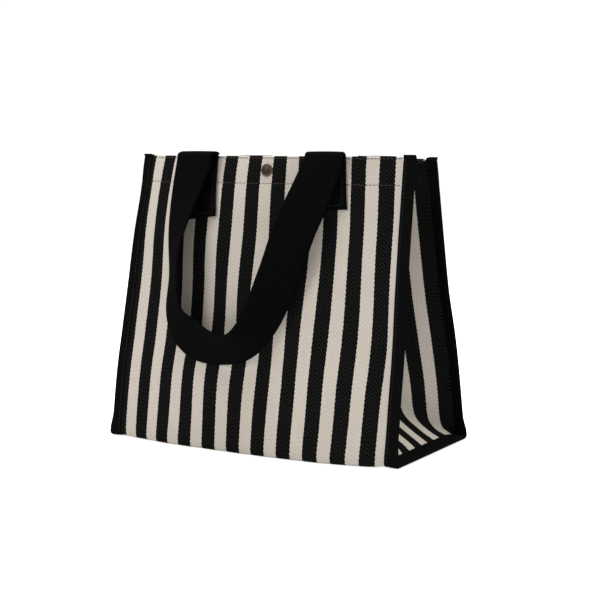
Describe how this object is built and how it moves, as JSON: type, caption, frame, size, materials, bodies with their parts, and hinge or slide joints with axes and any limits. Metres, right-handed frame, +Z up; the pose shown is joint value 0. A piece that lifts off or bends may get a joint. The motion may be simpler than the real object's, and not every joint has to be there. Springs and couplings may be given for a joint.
{
  "type": "canvas tote bag",
  "caption": "Striped canvas tote bag standing open, with folded side gussets, bound seams, snap and hanging strap handles.",
  "frame": {"origin": "middle of the underside, on the surface that the bag stands on", "axes": "+Z up; +X along the width, to the right as seen from the front; the front faces -Y"},
  "size_m": [0.3, 0.2206, 0.2755],
  "materials": {
    "striped_canvas": "heavy cotton herringbone canvas, cream with black woven stripes, matt",
    "black_tape": "smooth black cotton twill binding tape, matt",
    "black_webbing": "soft black cotton webbing, matt",
    "dark_brass": "dark antique brass, satin"
  },
  "bodies": {
    "bag_base": {"base_panel": "striped_canvas", "base_left_binding": "black_tape", "base_right_binding": "black_tape", "left_gusset_front_half": "striped_canvas", "left_gusset_back_half": "striped_canvas", "left_gusset_foot": "striped_canvas", "right_gusset_front_half": "striped_canvas", "right_gusset_back_half": "striped_canvas", "right_gusset_foot": "striped_canvas"},
    "front_wall": {"front_panel": "striped_canvas", "front_hem": "striped_canvas", "front_left_binding": "black_tape", "front_right_binding": "black_tape", "front_handle_left_end": "black_webbing", "front_handle_right_end": "black_webbing", "front_snap_cap": "dark_brass", "front_snap_socket": "dark_brass"},
    "back_wall": {"back_panel": "striped_canvas", "back_hem": "striped_canvas", "back_left_binding": "black_tape", "back_right_binding": "black_tape", "back_handle_left_end": "black_webbing", "back_handle_right_end": "black_webbing", "back_snap_cap": "dark_brass", "back_snap_stud": "dark_brass"},
    "front_handle": {"front_handle_loop": "black_webbing"},
    "back_handle": {"back_handle_loop": "black_webbing"}
  },
  "joints": [
    {"name": "front_wall_open", "type": "hinge", "parent": "bag_base", "child": "front_wall", "pos_m": [0, -0.09067, 0.008], "axis": [1, 0, 0], "range_deg": [0, 10]},
    {"name": "back_wall_open", "type": "hinge", "parent": "bag_base", "child": "back_wall", "pos_m": [0, 0.09067, 0.008], "axis": [-1, 0, 0], "range_deg": [0, 10]},
    {"name": "front_handle_swing", "type": "hinge", "parent": "front_wall", "child": "front_handle", "pos_m": [0, -0.0528, 0.27], "axis": [-1, 0, 0], "range_deg": [0, 175]},
    {"name": "back_handle_swing", "type": "hinge", "parent": "back_wall", "child": "back_handle", "pos_m": [0, 0.0528, 0.27], "axis": [1, 0, 0], "range_deg": [0, 175]}
  ]
}
